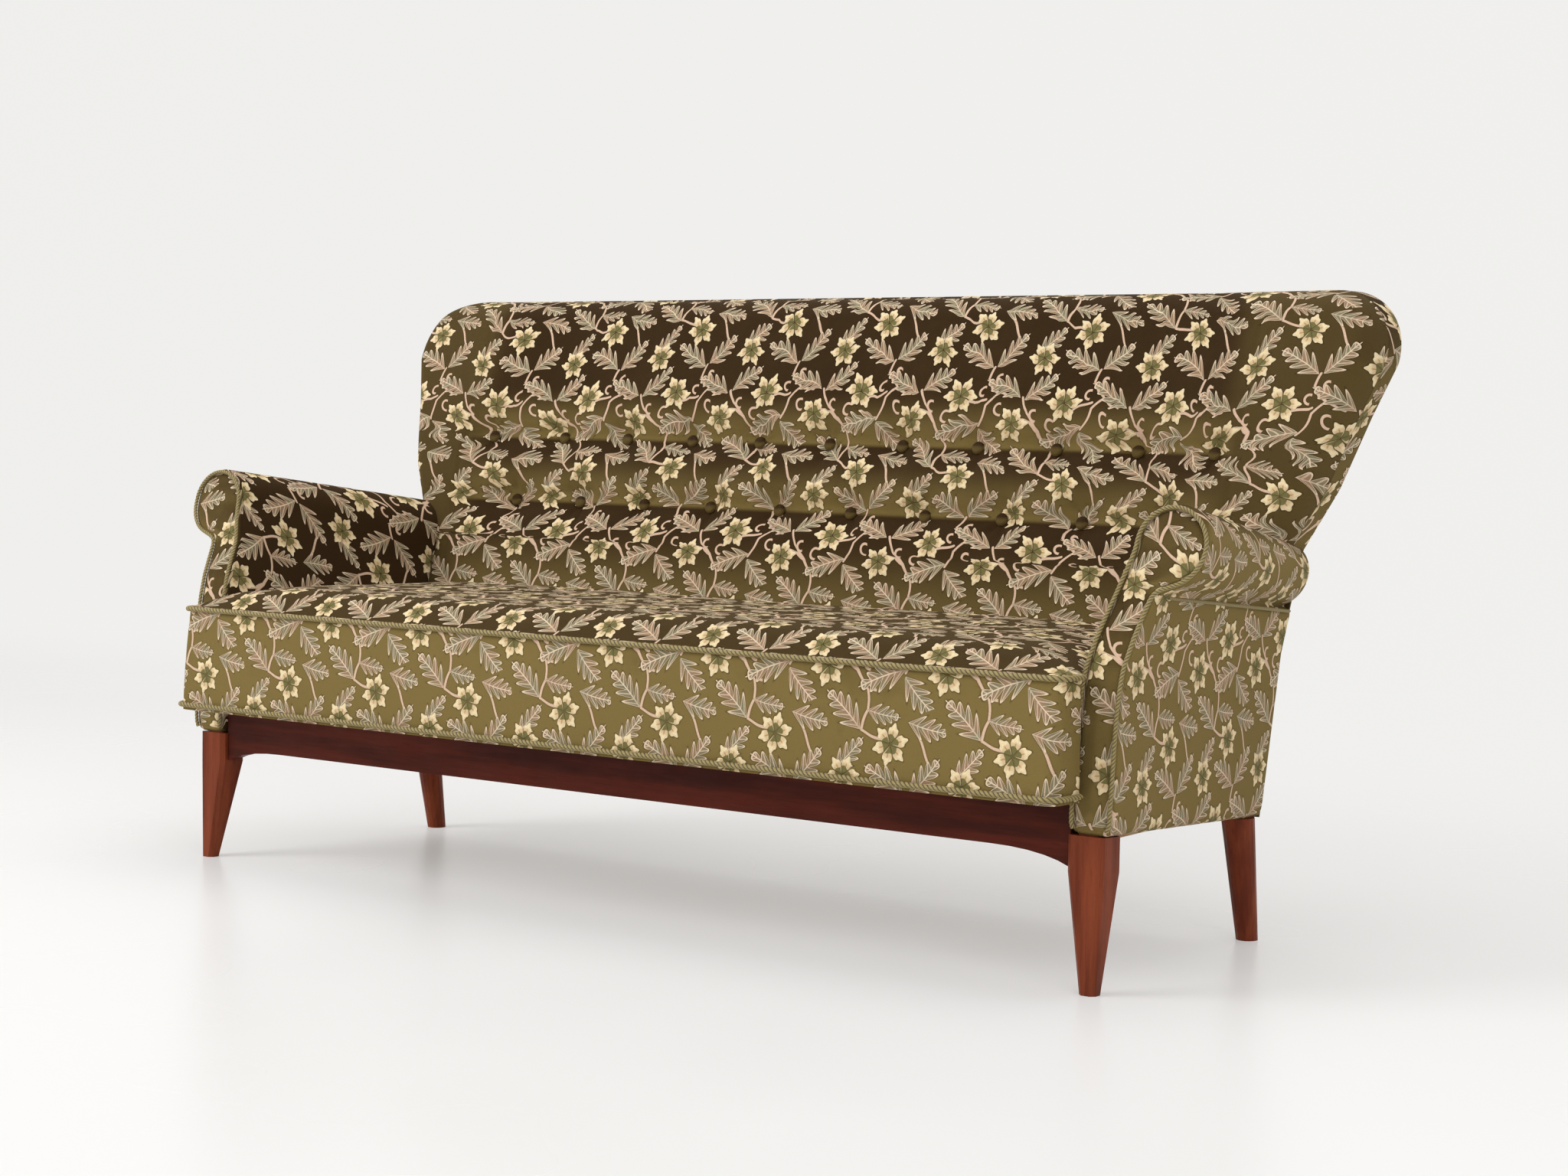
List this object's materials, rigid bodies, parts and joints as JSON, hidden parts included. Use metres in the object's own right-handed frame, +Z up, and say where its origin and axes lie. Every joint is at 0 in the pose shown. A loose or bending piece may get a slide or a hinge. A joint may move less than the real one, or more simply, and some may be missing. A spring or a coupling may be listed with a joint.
{
  "type": "upholstered settee",
  "caption": "Settee with rolled arms, a raked buttoned back with rounded upper corners, a tight seat with a lipped front, a shallow arched rail and tapered wooden legs.",
  "frame": {"origin": "bottom centre of the bounding box, on the floor under the middle of the settee", "axes": "+X to the right as seen from the front, +Y towards the back, +Z up; the front faces -Y"},
  "size_m": [1.8278, 0.7578, 0.893],
  "materials": {
    "stained_wood": "satin",
    "frame_wood": "matt",
    "velvet": "matt",
    "cord": "satin",
    "jute": "matt",
    "spring_steel": "satin",
    "lining": "matt"
  },
  "bodies": {
    "root": {"arm_front_panel_left": "velvet", "arm_front_panel_right": "velvet", "arm_pad_left": "velvet", "arm_pad_right": "velvet", "arm_top_rail_left": "frame_wood", "arm_top_rail_right": "frame_wood", "arm_welt_left": "cord", "arm_welt_right": "cord", "back_button_1": "velvet", "back_button_10": "velvet", "back_button_11": "velvet", "back_button_12": "velvet", "back_button_13": "velvet", "back_button_14": "velvet", "back_button_15": "velvet", "back_button_16": "velvet", "back_button_17": "velvet", "back_button_18": "velvet", "back_button_19": "velvet", "back_button_2": "velvet", "back_button_20": "velvet", "back_button_21": "velvet", "back_button_3": "velvet", "back_button_4": "velvet", "back_button_5": "velvet", "back_button_6": "velvet", "back_button_7": "velvet", "back_button_8": "velvet", "back_button_9": "velvet", "back_lower_rail": "frame_wood", "back_outer_cover": "velvet", "back_pad": "velvet", "back_top_rail": "frame_wood", "back_webbing": "jute", "front_apron": "stained_wood", "front_corner_block_left": "frame_wood", "front_corner_block_right": "frame_wood", "front_leg_left": "stained_wood", "front_leg_right": "stained_wood", "rear_corner_block_left": "frame_wood", "rear_corner_block_right": "frame_wood", "rear_leg_left": "stained_wood", "rear_leg_right": "stained_wood", "rear_seat_rail": "frame_wood", "seat_bearer": "frame_wood", "seat_bottom_welt": "cord", "seat_dust_cover": "lining", "seat_lip_rail": "frame_wood", "seat_pad": "velvet", "seat_spring_1": "spring_steel", "seat_spring_2": "spring_steel", "seat_spring_3": "spring_steel", "seat_spring_4": "spring_steel", "seat_spring_5": "spring_steel", "seat_spring_6": "spring_steel", "seat_top_welt": "cord", "seat_webbing": "jute", "side_seat_rail_left": "frame_wood", "side_seat_rail_right": "frame_wood", "spring_canvas": "jute"}
  },
  "joints": []
}
